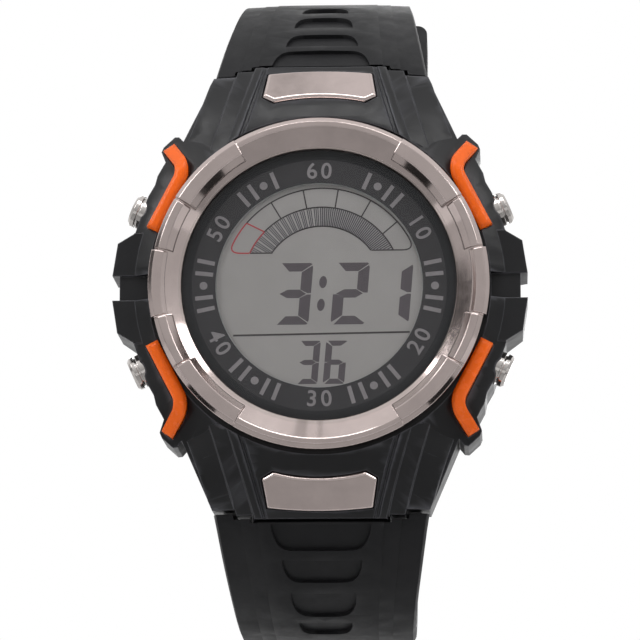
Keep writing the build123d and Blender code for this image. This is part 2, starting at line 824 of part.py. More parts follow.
def strap_body(wire, count, radius, start_angle, end_half_width, tip_half_width):
    """Loft of a strap through sections at equal distances along its route."""
    with BuildPart() as body:
        for index in range(count + 1):
            distance = wire.length * index / count
            section = strap_section(
                distance - root_lead, wire.length - root_lead, radius, start_angle, end_half_width,
                tip_half_width)
            with BuildSketch(route_plane(wire, distance)):
                with BuildLine():
                    Polyline(section, close=True)
                make_face()
        loft()
    return body.part


# The case's end line, moved out by the seam gap, shapes the end of both straps.
seam_points = [(x + seam_gap, z + seam_gap) for x, z in quarter_outline[:len(seam_shares)]]
seam_points.append((seam_half + overrun, half_length + seam_gap))
with BuildSketch(front_plane(0)) as seam_outline:
    with BuildLine():
        Polyline(four_quarters(seam_points), close=True)
    make_face()
seam_cutter = extrude(seam_outline.sketch, amount=watch_height)

# Knuckle round the spring pin, with a web to the strap's root
with BuildPart() as knuckle:
    with BuildSketch(side_plane):
        with Locations((pin_height, pin_reach)):
            Circle(knuckle_radius)
        with Locations((pin_height, seam_start[1] + seam_gap)):
            Rectangle(knuckle_radius, strap_root_thickness * half, align=(Align.CENTER, Align.MIN))
        make_hull()
    extrude(amount=knuckle_width * half, both=True)

# Recesses across a strap: start and end as shares of its first bend, width as a share of the seam's
upper_rib_shares = [(-0.02, 0.09, 0.46), (0.122, 0.207, 0.337), (0.271, 0.374, 0.276), (0.437, 0.522, 0.22)]
lower_rib_shares = [(0.01, 0.15, 0.46), (0.205, 0.34, 0.369), (0.412, 0.595, 0.303), (0.66, 0.8, 0.25)]
upper_bend = upper_radius * math.radians(upper_start_angle)
lower_bend = lower_radius * math.radians(lower_start_angle)


def cut_scoop(wire, start, length, width):
    """Sink a recess into a strap's outer face: it narrows along the strap and has two rounded corners."""
    middle = route_plane(wire, start + length * half)
    outward = middle.y_dir * -1
    along = 1 if Vector(1, 0, 0).cross(middle.z_dir).dot(outward) > 0 else -1
    near = -length * half * along
    narrow = width * half * rib_narrow_share
    wide = width * half
    cut = length * rib_round_share * along
    scoop_plane = Plane(origin=middle.origin + outward * rib_depth, x_dir=(1, 0, 0), z_dir=outward)
    with BuildSketch(scoop_plane) as scoop:
        with BuildLine():
            right = Spline(
                (wide, near), (narrow + (wide - narrow) * half, -near - cut), (narrow - abs(cut), -near),
                tangents=((0, along), (-1, 0)))
            left = Spline(
                (-wide, near), (-narrow - (wide - narrow) * half, -near - cut), (abs(cut) - narrow, -near),
                tangents=((0, along), (1, 0)))
            Line(right @ 0, left @ 0)
            Line(right @ 1, left @ 1)
        make_face()
    extrude(scoop.sketch, amount=-rib_depth * 2, mode=Mode.SUBTRACT)


def cut_across(wire, start, length, width, depth):
    """Cut a block of this width and depth out of a strap's outer face, along its route."""
    with BuildSketch(route_plane(wire, start)) as block:
        Rectangle(width, depth * 2)
    extrude(block.sketch, amount=length, mode=Mode.SUBTRACT)


pin_bore_radius = pin_diameter * half + pin_fit
strap_end_plane = route_plane(upper_wire, upper_wire.length - buckle_pin_inset)
buckle_pin_point = strap_end_plane.origin + strap_end_plane.y_dir * (strap_thickness * half)
buckle_pin_plane = Plane(origin=buckle_pin_point, x_dir=(0, 1, 0), z_dir=(1, 0, 0))

# Upper strap: short, with the buckle's pin at its end
with BuildPart() as strap_upper:
    add(strap_body(
        upper_wire, 9, upper_radius, upper_start_angle, upper_strap_width * half, upper_strap_width * half))
    add(seam_cutter, mode=Mode.SUBTRACT)
    add(knuckle.part)
    with BuildSketch(side_plane):
        with Locations((pin_height, pin_reach)):
            Circle(pin_bore_radius)
    extrude(amount=seam_half, both=True, mode=Mode.SUBTRACT)
    for start, end, width in upper_rib_shares:
        cut_scoop(upper_wire, root_lead + upper_bend * start, upper_bend * (end - start), seam_width * width)
    with BuildSketch(buckle_pin_plane):
        Circle(buckle_pin_diameter * half + pin_fit)
    extrude(amount=seam_half, both=True, mode=Mode.SUBTRACT)
    cut_across(
        upper_wire, upper_wire.length - buckle_pin_inset - prong_slot_depth,
        buckle_pin_inset + prong_slot_depth * 2, prong_width + prong_slot_gap * 2, overrun * half)

# Lower strap: long, with adjustment holes and a rounded tip
tip_point = lower_wire @ 1
tip_direction = lower_wire % 1
tip_plane = Plane(origin=tip_point, x_dir=(1, 0, 0), z_dir=Vector(1, 0, 0).cross(tip_direction))
with BuildPart() as strap_lower:
    add(strap_body(
        lower_wire, 15, lower_radius, lower_start_angle, lower_strap_width * half, strap_tip_width * half))
    add(seam_cutter, mode=Mode.SUBTRACT)
    add(mirror(knuckle.part, about=Plane.XY))
    with BuildSketch(side_plane):
        with Locations((pin_height, -pin_reach)):
            Circle(pin_bore_radius)
    extrude(amount=seam_half, both=True, mode=Mode.SUBTRACT)
    for start, end, width in lower_rib_shares:
        cut_scoop(lower_wire, root_lead + lower_bend * start, lower_bend * (end - start), seam_width * width)
    for index in range(hole_count):
        distance = lower_wire.length - first_hole_distance - index * hole_pitch
        cut_across(lower_wire, distance - hole_length * half, hole_length, hole_width, strap_thickness * 2)
    with BuildSketch(tip_plane):
        Rectangle(strap_tip_width * 2, tip_round_length, align=(Align.CENTER, Align.MAX))
        with Locations((0, -tip_round_length)):
            Ellipse(strap_tip_width * half + fit_gap, tip_round_length, mode=Mode.SUBTRACT)
    extrude(amount=strap_thickness * 2, both=True, mode=Mode.SUBTRACT)

# Buckle frame: two rails with ears on the pin, and a front bar
frame_slope = math.radians(buckle_angle)
frame_along = Vector(0, math.cos(frame_slope), -math.sin(frame_slope))
frame_out = Vector(0, math.sin(frame_slope), math.cos(frame_slope))
buckle_plane = Plane(origin=buckle_pin_point, x_dir=(1, 0, 0), z_dir=frame_out)
ear_radius = buckle_thickness * ear_share
with BuildPart() as buckle_frame:
    with BuildSketch(buckle_plane.offset(-buckle_thickness * half)) as frame_face:
        with Locations((0, -ear_radius)):
            Rectangle(buckle_width, buckle_length + ear_radius, align=(Align.CENTER, Align.MIN))
        fillet(frame_face.vertices().group_by(Axis.Y)[-1], buckle_corner)
        with Locations((0, -ear_radius * 2)):
            Rectangle(
                buckle_width - buckle_rail_width * 2, buckle_length + ear_radius * 2 - buckle_bar_width,
                align=(Align.CENTER, Align.MIN), mode=Mode.SUBTRACT)
    extrude(amount=buckle_thickness)
    frame_top = buckle_frame.faces().sort_by(Axis((0, 0, 0), frame_out))[-1]
    chamfer(frame_top.edges(), buckle_thickness * buckle_edge_share)
    with BuildSketch(buckle_pin_plane):
        Circle(buckle_pin_diameter * half + pin_fit)
    extrude(amount=buckle_width, both=True, mode=Mode.SUBTRACT)

with BuildPart() as buckle_pin:
    with BuildSketch(buckle_pin_plane):
        Circle(buckle_pin_diameter * half)
    extrude(amount=buckle_width * half - pin_fit, both=True)

# Prong: an eye round the pin and a bar whose tip rests on the frame's front bar
prong_plane = Plane(origin=buckle_pin_point, x_dir=frame_along, z_dir=(1, 0, 0))
eye_radius = strap_thickness * half
prong_rest = buckle_thickness * half + prong_gap
bar_start = buckle_length - buckle_bar_width - prong_slot_gap
with BuildPart() as buckle_prong:
    with BuildSketch(prong_plane):
        with BuildLine():
            Polyline(
                (0, -prong_gap), (bar_start, prong_rest), (buckle_length + prong_slot_gap, prong_rest),
                (buckle_length + prong_slot_gap, prong_rest + prong_thickness * prong_tip_share),
                (bar_start, prong_rest + prong_thickness), (0, eye_radius), close=True)
        make_face()
        Circle(eye_radius)
    extrude(amount=prong_width * half, both=True)
    with BuildSketch(buckle_pin_plane):
        Circle(buckle_pin_diameter * half + pin_fit)
    extrude(amount=prong_width, both=True, mode=Mode.SUBTRACT)

# Keeper band, with room for both straps
keeper_start = root_lead + upper_arc.length + keeper_distance - keeper_length * half
inner_low = strap_thickness + keeper_gap
with BuildPart() as keeper:
    with BuildSketch(route_plane(upper_wire, keeper_start)):
        with Locations((0, inner_low + keeper_wall)):
            RectangleRounded(
                upper_strap_width + keeper_gap * 2 + keeper_wall * 2, keeper_room + keeper_wall * 2,
                keeper_wall, align=(Align.CENTER, Align.MAX))
        with Locations((0, inner_low)):
            Rectangle(
                upper_strap_width + keeper_gap * 2, keeper_room, align=(Align.CENTER, Align.MAX),
                mode=Mode.SUBTRACT)
    extrude(amount=keeper_length)

pieces = {
    "case": case.part, "bezel": bezel.part, "lens": lens.part, "dial_ring": dial_ring.part,
    "lcd_glass": lcd_glass.part, "backlight_panel": backlight_panel.part,
    "display_connectors": display_connectors.part, "module_frame": module_frame.part,
    "circuit_board": circuit_board.part, "driver_chip": driver_chip.part,
    "quartz_crystal": quartz_crystal.part, "coin_battery": coin_battery.part,
    "battery_holder": battery_holder.part, "battery_clip": battery_clip.part,
    "piezo_buzzer": piezo_buzzer.part, "case_back": case_back.part, "back_screws": back_screws.part,
    "back_gasket": back_gasket.part, "plate_upper": plate_upper.part, "plate_lower": plate_lower.part,
    "strap_pin_upper": pins["upper"], "strap_pin_lower": pins["lower"],
    "strap_upper": strap_upper.part, "strap_lower": strap_lower.part,
    "buckle_frame": buckle_frame.part, "buckle_pin": buckle_pin.part,
    "buckle_prong": buckle_prong.part, "keeper": keeper.part,
}
for corner in pusher_angles:
    pieces["trim_" + corner] = trims[corner]
    pieces["pusher_" + corner] = pushers[corner]
    pieces["pusher_spring_" + corner] = pusher_springs[corner]
    pieces["pusher_clip_" + corner] = pusher_clips[corner]

os.makedirs("parts", exist_ok=True)
for name, piece in pieces.items():
    piece.label = name
    export_step(piece, "parts/" + name + ".step")
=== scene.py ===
import json
import math

import bmesh
import bpy
from mathutils import Matrix, Vector


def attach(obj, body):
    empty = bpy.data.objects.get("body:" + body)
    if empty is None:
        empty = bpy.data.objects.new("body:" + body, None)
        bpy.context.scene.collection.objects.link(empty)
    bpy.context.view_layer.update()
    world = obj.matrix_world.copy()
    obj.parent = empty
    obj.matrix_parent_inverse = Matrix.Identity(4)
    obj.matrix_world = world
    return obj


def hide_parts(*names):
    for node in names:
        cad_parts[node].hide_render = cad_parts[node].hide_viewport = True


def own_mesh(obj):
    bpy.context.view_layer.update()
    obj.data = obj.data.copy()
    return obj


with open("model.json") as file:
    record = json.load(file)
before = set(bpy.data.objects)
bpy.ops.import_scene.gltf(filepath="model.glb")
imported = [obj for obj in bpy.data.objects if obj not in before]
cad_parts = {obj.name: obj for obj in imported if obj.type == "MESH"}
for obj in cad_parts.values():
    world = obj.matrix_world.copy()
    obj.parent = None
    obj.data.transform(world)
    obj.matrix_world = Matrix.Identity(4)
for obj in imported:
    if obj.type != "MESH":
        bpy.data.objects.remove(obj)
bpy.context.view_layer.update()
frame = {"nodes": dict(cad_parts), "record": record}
nodes = frame["nodes"]
MM = 0.001
CORNERS = ("upper_right", "upper_left", "lower_left", "lower_right")


# Materials

# Most of a noise lies between these two values
NOISE_LOW, NOISE_HIGH = 0.3, 0.7
# Cosine between a rounded normal and the face's own: well on the edge, and just off it
EDGE_TURN_LOW, EDGE_TURN_HIGH = 0.965, 0.994
# How much paler resin is painted along its edges, as a painted highlight
EDGE_HIGHLIGHT_GAIN = 14.0
# Sockets of a colour mix
MIX_FACTOR, MIX_A, MIX_B, MIX_RESULT = 0, 6, 7, 2
mats = {}


def srgb(r, g, b):
    """Linear colour from 8-bit screen values."""
    def one(v):
        v /= 255.0
        return v / 12.92 if v <= 0.04045 else ((v + 0.055) / 1.055) ** 2.4
    return (one(r), one(g), one(b), 1.0)


def shade(colour, factor):
    """A darker or lighter version of a colour."""
    return tuple(min(1.0, c * factor) for c in colour[:3]) + (1.0,)


class Mat:
    """Small helper round one node material, which it also enters in mats."""

    SOCKETS = {
        "metal": "Metallic",
        "coat": "Coat Weight",
        "coat_rough": "Coat Roughness",
        "spec": "Specular IOR Level",
    }

    def __init__(self, name):
        material = bpy.data.materials.new(name)
        material.use_nodes = True
        mats[name] = material
        self.tree = material.node_tree
        self.shader = self.tree.nodes["Principled BSDF"]
        self.out = self.tree.nodes["Material Output"]
        self.place = self.tree.nodes.new("ShaderNodeTexCoord").outputs["Object"]

    def set(self, **values):
        for key, value in values.items():
            self.shader.inputs[self.SOCKETS[key]].default_value = value
        return self

    def node(self, kind, **props):
        n = self.tree.nodes.new(kind)
        for key, value in props.items():
            setattr(n, key, value)
        return n

    def link(self, a, b):
        self.tree.links.new(a, b)

    def mapped(self, scale=(1, 1, 1), rot=(0, 0, 0)):
        """Object coordinates, stretched and turned."""
        n = self.node("ShaderNodeMapping")
        n.inputs["Scale"].default_value = scale
        n.inputs["Rotation"].default_value = rot
        self.link(self.place, n.inputs["Vector"])
        return n.outputs["Vector"]

    def noise(self, size_mm, detail=2.0, rough=0.5, vector=None):
        """Noise with features of about this size."""
        n = self.node("ShaderNodeTexNoise")
        n.inputs["Scale"].default_value = 1 / (size_mm * MM)
        n.inputs["Detail"].default_value = detail
        n.inputs["Roughness"].default_value = rough
        self.link(vector or self.place, n.inputs["Vector"])
        return n.outputs["Fac"]

    def cells(self, size_mm):
        """Distance to the borders of cells of about this size."""
        n = self.node("ShaderNodeTexVoronoi", feature="DISTANCE_TO_EDGE")
        n.inputs["Scale"].default_value = 1 / (size_mm * MM)
        self.link(self.place, n.inputs["Vector"])
        return n.outputs["Distance"]

    def two_tone(self, fac, dark, light, low=NOISE_LOW, high=NOISE_HIGH):
        """Colour that runs from dark to light while fac runs from low to high."""
        n = self.node("ShaderNodeValToRGB")
        ends = n.color_ramp.elements
        ends[0].position, ends[0].color = low, dark
        ends[1].position, ends[1].color = high, light
        self.link(fac, n.inputs["Fac"])
        return n.outputs["Color"]

    def uneven(self, fac, colour, darkest, lightest):
        """One colour, shaded between two factors."""
        return self.two_tone(fac, shade(colour, darkest), shade(colour, lightest))

    def span(self, fac, lo, hi, low=NOISE_LOW, high=NOISE_HIGH):
        """fac from low..high mapped to lo..hi."""
        n = self.node("ShaderNodeMapRange")
        n.inputs["From Min"].default_value = low
        n.inputs["From Max"].default_value = high
        n.inputs["To Min"].default_value = lo
        n.inputs["To Max"].default_value = hi
        self.link(fac, n.inputs["Value"])
        return n.outputs["Result"]

    def math(self, op, a, b):
        n = self.node("ShaderNodeMath", operation=op)
        for i, v in enumerate((a, b)):
            if isinstance(v, (int, float)):
                n.inputs[i].default_value = v
            else:
                self.link(v, n.inputs[i])
        return n.outputs[0]

    def mixed(self, fac, first, second):
        """Sends a mix of two shaders to the output."""
        n = self.node("ShaderNodeMixShader")
        self.link(fac, n.inputs[0])
        self.link(first.outputs[0], n.inputs[1])
        self.link(second.outputs[0], n.inputs[2])
        self.link(n.outputs[0], self.out.inputs["Surface"])

    def colour(self, c):
        self.link(c, self.shader.inputs["Base Color"])

    def rough(self, r):
        self.link(r, self.shader.inputs["Roughness"])

    def round_edges(self, radius_mm, samples=6):
        """Shades hard edges as if rounded, and gives a mask that is 1 along them."""
        n = self.node("ShaderNodeBevel", samples=samples)
        n.inputs["Radius"].default_value = radius_mm * MM
        self.link(n.outputs["Normal"], self.shader.inputs["Normal"])
        face = self.node("ShaderNodeNewGeometry")
        both = self.node("ShaderNodeVectorMath", operation="DOT_PRODUCT")
        self.link(n.outputs["Normal"], both.inputs[0])
        self.link(face.outputs["True Normal"], both.inputs[1])
        return self.span(both.outputs["Value"], lo=1.0, hi=0.0, low=EDGE_TURN_LOW, high=EDGE_TURN_HIGH)

    def bump(self, height, depth_mm):
        """Bump of this depth, added to the bumps before it."""
        n = self.node("ShaderNodeBump")
        n.inputs["Distance"].default_value = depth_mm * MM
        self.link(height, n.inputs["Height"])
        last = self.shader.inputs["Normal"]
        if last.is_linked:
            self.link(last.links[0].from_socket, n.inputs["Normal"])
        self.link(n.outputs["Normal"], last)


def moulded(name, colour, rough, grain_mm, grain_depth, spec=0.5, edge_highlight=0.0):
    """Moulded resin: fine grain, slight cloudiness and, where asked for, a painted highlight that makes its
    edges paler in patches.
    """
    m = Mat(name).set(spec=spec)
    cloud = m.noise(size_mm=6.0, detail=3.0, rough=0.6)
    plain = m.uneven(cloud, colour, darkest=0.86, lightest=1.16)
    # Painted highlight: the colour turns paler along edges, in noisy patches, in place of the light their
    # ridges catch
    if edge_highlight:
        highlight_patches = m.span(m.noise(size_mm=1.8, detail=3.0, rough=0.6), lo=0.5, hi=1.0)
        edge = m.math("MULTIPLY", m.round_edges(radius_mm=0.18), highlight_patches)
        edge_lit = m.node("ShaderNodeMix", data_type="RGBA")
        m.link(m.math("MULTIPLY", edge, edge_highlight), edge_lit.inputs[MIX_FACTOR])
        m.link(plain, edge_lit.inputs[MIX_A])
        edge_lit.inputs[MIX_B].default_value = shade(colour, EDGE_HIGHLIGHT_GAIN)
        plain = edge_lit.outputs[MIX_RESULT]
    m.colour(plain)
    m.rough(m.span(m.noise(size_mm=2.2, detail=4.0, rough=0.65), lo=rough - 0.06, hi=rough + 0.07))
    m.bump(m.noise(size_mm=grain_mm, detail=2.0, rough=0.6), depth_mm=grain_depth)
    m.bump(m.noise(size_mm=3.5, detail=2.0, rough=0.5), depth_mm=grain_depth * 1.2)


def polished(name, colour, rough, round_mm=0.1):
    """Polished metal: rounded edges, hairline wipe marks and slow ripples."""
    m = Mat(name).set(metal=1.0)
    m.colour(m.uneven(m.noise(size_mm=4.0, detail=3.0, rough=0.6), colour, darkest=0.93, lightest=1.05))
    m.rough(m.span(m.noise(size_mm=1.3, detail=4.0, rough=0.7), lo=rough * 0.75, hi=rough * 1.3))
    m.round_edges(round_mm, samples=8)
    along = m.mapped(scale=(1, 1, 0.06), rot=(0.3, 0.9, 0.2))
    m.bump(m.noise(size_mm=0.3, detail=2.0, rough=0.6, vector=along), depth_mm=0.0004)
    m.bump(m.noise(size_mm=6.0, detail=1.0, rough=0.4), depth_mm=0.008)


def brushed(name, colour, rough, stretch=(1, 1, 0.03)):
    """Brushed steel with its grain along one axis."""
    m = Mat(name).set(metal=1.0)
    grain = m.noise(size_mm=0.12, detail=3.0, rough=0.7, vector=m.mapped(stretch))
    m.colour(m.uneven(grain, colour, darkest=0.86, lightest=1.08))
    m.rough(m.span(grain, lo=rough - 0.07, hi=rough + 0.09))
    m.bump(grain, depth_mm=0.002)


def printed(name, colour, rough=0.5):
    """Ink: slightly uneven colour and a fine edge grain."""
    m = Mat(name).set(spec=0.3)
    m.colour(m.uneven(m.noise(size_mm=0.5, detail=3.0, rough=0.6), colour, darkest=0.93, lightest=1.05))
    m.rough(m.span(m.noise(size_mm=0.3, detail=2.0, rough=0.5), lo=rough - 0.05, hi=rough + 0.05))
    m.bump(m.noise(size_mm=0.1, detail=2.0, rough=0.5), depth_mm=0.001)


BLACK = srgb(22, 22, 24)
ROSE = (0.53, 0.45, 0.43, 1.0)
ORANGE = srgb(252, 104, 6)

# The case's resin carries the painted edge highlight
moulded("black_resin", BLACK, rough=0.37, grain_mm=0.16, grain_depth=0.003, spec=0.28, edge_highlight=0.6)
moulded("strap_resin", BLACK, rough=0.52, grain_mm=0.12, grain_depth=0.008, spec=0.2)
moulded("seal_rubber", srgb(30, 30, 30), rough=0.6, grain_mm=0.2, grain_depth=0.003)
moulded("zebra_rubber", srgb(205, 150, 160), rough=0.5, grain_mm=0.3, grain_depth=0.003)
moulded("grey_plastic", srgb(150, 152, 155), rough=0.45, grain_mm=0.3, grain_depth=0.003)
moulded("chip_resin", srgb(24, 24, 24), rough=0.2, grain_mm=0.8, grain_depth=0.004)
moulded("backlight", srgb(215, 220, 205), rough=0.35, grain_mm=0.6, grain_depth=0.002)
# Black of the lens border: partly its own colour, partly painted shade along the bezel's inner edge
moulded("edge_black", srgb(30, 30, 33), rough=0.5, grain_mm=0.5, grain_depth=0.001, spec=0.3)
polished("rose_metal", ROSE, rough=0.09, round_mm=0.22)
polished("pusher_metal", (0.55, 0.52, 0.50, 1), rough=0.12)
polished("brass", (0.72, 0.5, 0.2, 1), rough=0.22)
brushed("steel", (0.62, 0.62, 0.63, 1), rough=0.3)
brushed("buckle_steel", (0.33, 0.33, 0.34, 1), rough=0.36, stretch=(0.03, 1, 1))
printed("ink_grey", srgb(131, 126, 129))
printed("ink_dark", srgb(84, 78, 83))
printed("ink_line", srgb(62, 58, 60))
printed("ink_fine", srgb(76, 74, 80))
printed("ink_red", srgb(168, 62, 70))
printed("cut_edge", srgb(150, 150, 150))

# Glossy orange plastic with a faint mottled depth and fine wipe marks
m = Mat("orange_trim").set(coat=0.22, coat_rough=0.06, spec=0.22)
m.colour(m.uneven(m.noise(size_mm=2.5, detail=3.0, rough=0.6), ORANGE, darkest=0.9, lightest=1.06))
m.rough(m.span(m.noise(size_mm=0.9, detail=3.0, rough=0.6), lo=0.2, hi=0.3))
m.round_edges(radius_mm=0.8, samples=8)
m.bump(m.noise(size_mm=1.6, detail=2.0, rough=0.5), depth_mm=0.006)

# Satin black print of the dial ring
m = Mat("black_print").set(spec=0.35)
m.colour(m.two_tone(m.noise(size_mm=1.5, detail=3.0, rough=0.6), srgb(47, 45, 48), srgb(53, 51, 54)))
m.rough(m.span(m.noise(size_mm=0.6, detail=3.0, rough=0.6), lo=0.42, hi=0.55))
m.bump(m.noise(size_mm=0.3, detail=2.0, rough=0.6), depth_mm=0.0006)

# Warm grey display with a fine polariser grain
m = Mat("display_glass").set(spec=0.35)
m.colour(m.two_tone(m.noise(size_mm=3.0, detail=4.0, rough=0.6), srgb(147, 143, 143), srgb(152, 148, 148)))
m.rough(m.span(m.noise(size_mm=0.4, detail=3.0, rough=0.6), lo=0.38, hi=0.5))
m.bump(m.noise(size_mm=0.08, detail=2.0, rough=0.6), depth_mm=0.0008)

# Green circuit board
m = Mat("green_board").set(spec=0.5)
tracks = m.cells(size_mm=1.6)
m.colour(m.two_tone(tracks, srgb(24, 92, 52), srgb(14, 66, 36), low=0.06, high=0.12))
m.rough(m.span(m.noise(size_mm=0.6, detail=3.0, rough=0.6), lo=0.28, hi=0.42))
m.bump(tracks, depth_mm=0.01)

# Case back steel, brushed in circles round the middle
m = Mat("back_steel").set(metal=1.0)
flat = m.node("ShaderNodeSeparateXYZ")
m.link(m.place, flat.inputs[0])
across = m.math("MULTIPLY", flat.outputs["X"], flat.outputs["X"])
upward = m.math("MULTIPLY", flat.outputs["Z"], flat.outputs["Z"])
ring = m.node("ShaderNodeCombineXYZ")
m.link(m.math("SQRT", m.math("ADD", across, upward), 0), ring.inputs[0])
turned = m.noise(size_mm=0.09, detail=2.0, rough=0.7, vector=ring.outputs[0])
m.colour(m.two_tone(turned, (0.5, 0.5, 0.51, 1), (0.64, 0.64, 0.65, 1)))
m.rough(m.span(turned, lo=0.24, hi=0.36))
m.bump(turned, depth_mm=0.0015)

# Clear lens: open to sight and lamp light, with a gloss that grows towards its edges of view
m = Mat("clear_lens").set(metal=1.0)
m.colour(m.two_tone(m.noise(size_mm=4.0, detail=3.0, rough=0.6), (0.9, 0.91, 0.92, 1), (0.96, 0.96, 0.96, 1)))
m.rough(m.span(m.noise(size_mm=2.0, detail=4.0, rough=0.6), lo=0.02, hi=0.05))
m.bump(m.noise(size_mm=9.0, detail=1.0, rough=0.4), depth_mm=0.004)
gloss = m.node("ShaderNodeFresnel")
gloss.inputs["IOR"].default_value = 1.2
side = m.node("ShaderNodeNewGeometry")
outside = m.math("SUBTRACT", 1.0, side.outputs["Backfacing"])
clear = m.node("ShaderNodeBsdfTransparent")
clear.inputs["Color"].default_value = (0.96, 0.965, 0.96, 1)
m.mixed(m.math("MULTIPLY", gloss.outputs[0], outside), clear, m.shader)

slot_of = {s["node"]: s["material_slot"] for s in frame["record"]["subparts"]}
for name, o in nodes.items():
    o.data.materials.clear()
    o.data.materials.append(mats[slot_of[name]])


# Shape helpers. Points are (x, z) in mm as seen from the front, and heights are in mm towards the viewer.

# Thickness of a print, and the heights of the glass and of the ring that carry it
PRINT = 0.012
GLASS = 11.003
RING = 11.405
WELD_DISTANCE = 0.000002
FLAT_ANGLE = 1.0


def soften(name, width_mm, segments=2, angle=28):
    """Rounds a CAD node's hard edges a little."""
    o = nodes[name]
    weld = o.modifiers.new("weld", "WELD")
    weld.merge_threshold = WELD_DISTANCE
    flat = o.modifiers.new("flat", "DECIMATE")
    flat.decimate_type = "DISSOLVE"
    flat.angle_limit = math.radians(FLAT_ANGLE)
    bevel = o.modifiers.new("soft", "BEVEL")
    bevel.width = width_mm * MM
    bevel.segments = segments
    bevel.limit_method = "ANGLE"
    bevel.angle_limit = math.radians(angle)
    bevel.harden_normals = True
    bevel.use_clamp_overlap = True


def mesh_object(name, bm, material, body="watch"):
    """A mesh piece from bmesh data, riding on a body."""
    me = bpy.data.meshes.new(name)
    bm.to_mesh(me)
    bm.free()
    me.materials.append(material)
    o = bpy.data.objects.new(name, me)
    bpy.context.scene.collection.objects.link(o)
    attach(o, body)
    return o


def face_plate(bm, points, height):
    """A thin plate of print from its outline, with its back at this height."""
    back = [bm.verts.new((x * MM, -height * MM, z * MM)) for x, z in points]
    front = [bm.verts.new((x * MM, -(height + PRINT) * MM, z * MM)) for x, z in points]
    n = len(points)
    pairs = [(points[i], points[(i + 1) % n]) for i in range(n)]
    if sum(p[0] * q[1] - q[0] * p[1] for p, q in pairs) < 0:
        back.reverse()
        front.reverse()
    bm.faces.new(front)
    bm.faces.new(list(reversed(back)))
    for i in range(n):
        j = (i + 1) % n
        bm.faces.new((back[i], back[j], front[j], front[i]))


def polar(radius, angle, centre=(0.0, 0.0)):
    """Point at this radius and angle in degrees, from 3 o'clock."""
    a = math.radians(angle)
    return (centre[0] + radius * math.cos(a), centre[1] + radius * math.sin(a))


def arc(radius, start, end, centre=(0.0, 0.0), step=2.5):
    """Points along an arc."""
    n = max(2, int(abs(end - start) / step))
    return [polar(radius, start + (end - start) * i / n, centre) for i in range(n + 1)]


def bend(a, b, c, n=8):
    """Points along a curve from a to c that leans towards b."""
    return [tuple((1 - t) ** 2 * a[k] + 2 * t * (1 - t) * b[k] + t * t * c[k] for k in (0, 1))
            for t in (i / n for i in range(n + 1))]


def stroke(bm, points, width, height=GLASS):
    """A thin bar of even width along a line of points."""
    sides = ([], [])
    for i, p in enumerate(points):
        a = Vector(points[max(0, i - 1)])
        b = Vector(points[min(len(points) - 1, i + 1)])
        along = (b - a).normalized() * width / 2
        sides[0].append((p[0] - along.y, p[1] + along.x))
        sides[1].append((p[0] + along.y, p[1] - along.x))
    for i in range(len(points) - 1):
        face_plate(bm, [sides[0][i], sides[0][i + 1], sides[1][i + 1], sides[1][i]], height)


def dot(bm, centre, radius, height, steps=20):
    """A thin round dot."""
    face_plate(bm, [polar(radius, 360.0 * i / steps, centre) for i in range(steps)], height)


def skin(bm, rows):
    """Faces between each closed row of points and the next."""
    for low, high in zip(rows, rows[1:]):
        for j in range(len(low)):
            k = (j + 1) % len(low)
            bm.faces.new((low[j], low[k], high[k], high[j]))


# Display: seven-segment figures, slanted to the right

SEGMENTS = {"1": "bc", "2": "abged", "3": "abgcd", "6": "afgedc"}
SLANT = math.tan(math.radians(4.8))
# Gap and cut corner as shares of a beam's height, tip and inner point as shares of a post's width
GAP_SHARE = 0.09
CORNER_SHARE = 0.3
TIP_SHARE = 0.28
INNER_SHARE = 0.36
CORNER_DROP = 1.8

BIG = {"width": 3.87, "height": 7.0, "post": 1.23, "beam": 0.96}
BIG_TOP = 2.57
BIG_PLACES = (("3", -5.1), ("2", 1.24), ("1", 6.1))
SMALL = {"width": 2.4, "height": 4.88, "post": 0.74, "beam": 0.58}
SMALL_TOP = -6.27
SMALL_PLACES = (("3", -2.63), ("6", 0.37))
COLON_PLACES = ((0.425, 0.386), (0.18, -2.2))
COLON_HALF_WIDTH = 0.43
COLON_HALF_HEIGHT = 0.69
COLON_LEAN = 0.05
COLON_STEPS = 20


def figure(bm, character, left, top, width, height, post, beam):
    """One seven-segment figure in a box of this size before its slant: posts stand and beams lie."""
    mid = height / 2
    gap = beam * GAP_SHARE
    tip = post * TIP_SHARE
    corner = beam * CORNER_SHARE
    inner = post * INNER_SHARE
    shapes = {
        "a": [(tip, 0), (width - corner, 0), (width - gap, -corner / 2),
              (width - post, -beam), (post, -beam)],
        "d": [(tip, -height), (post, beam - height), (width - post, beam - height),
              (width - gap, corner / 2 - height), (width - corner, -height)],
        "g": [(tip, -mid), (post, beam / 2 - mid), (width - post - gap, beam / 2 - mid),
              (width - inner - gap, -mid), (width - post - gap, -mid - beam / 2), (post, -mid - beam / 2)],
        "b": [(width - gap, -corner), (width, -corner * CORNER_DROP), (width, gap - mid),
              (width - inner, gap - mid), (width - post, beam / 2 - mid), (width - post, -beam - gap)],
    }
    shapes["c"] = [(x, -height - y) for x, y in shapes["b"]]
    shapes["e"] = [(width - x, y) for x, y in shapes["c"]]
    shapes["f"] = [(width - x, y) for x, y in shapes["b"]]
    for s in SEGMENTS[character]:
        points = [(left + x + (y + height) * SLANT, top + y) for x, y in shapes[s]]
        face_plate(bm, points, GLASS)


def colon_dot(bm, x, z):
    """An upright oval that leans with the figures."""
    points = []
    for i in range(COLON_STEPS):
        a = 2 * math.pi * i / COLON_STEPS
        across = COLON_HALF_WIDTH * math.cos(a) + COLON_LEAN * math.sin(a)
        points.append((x + across, z + COLON_HALF_HEIGHT * math.sin(a)))
    face_plate(bm, points, GLASS)


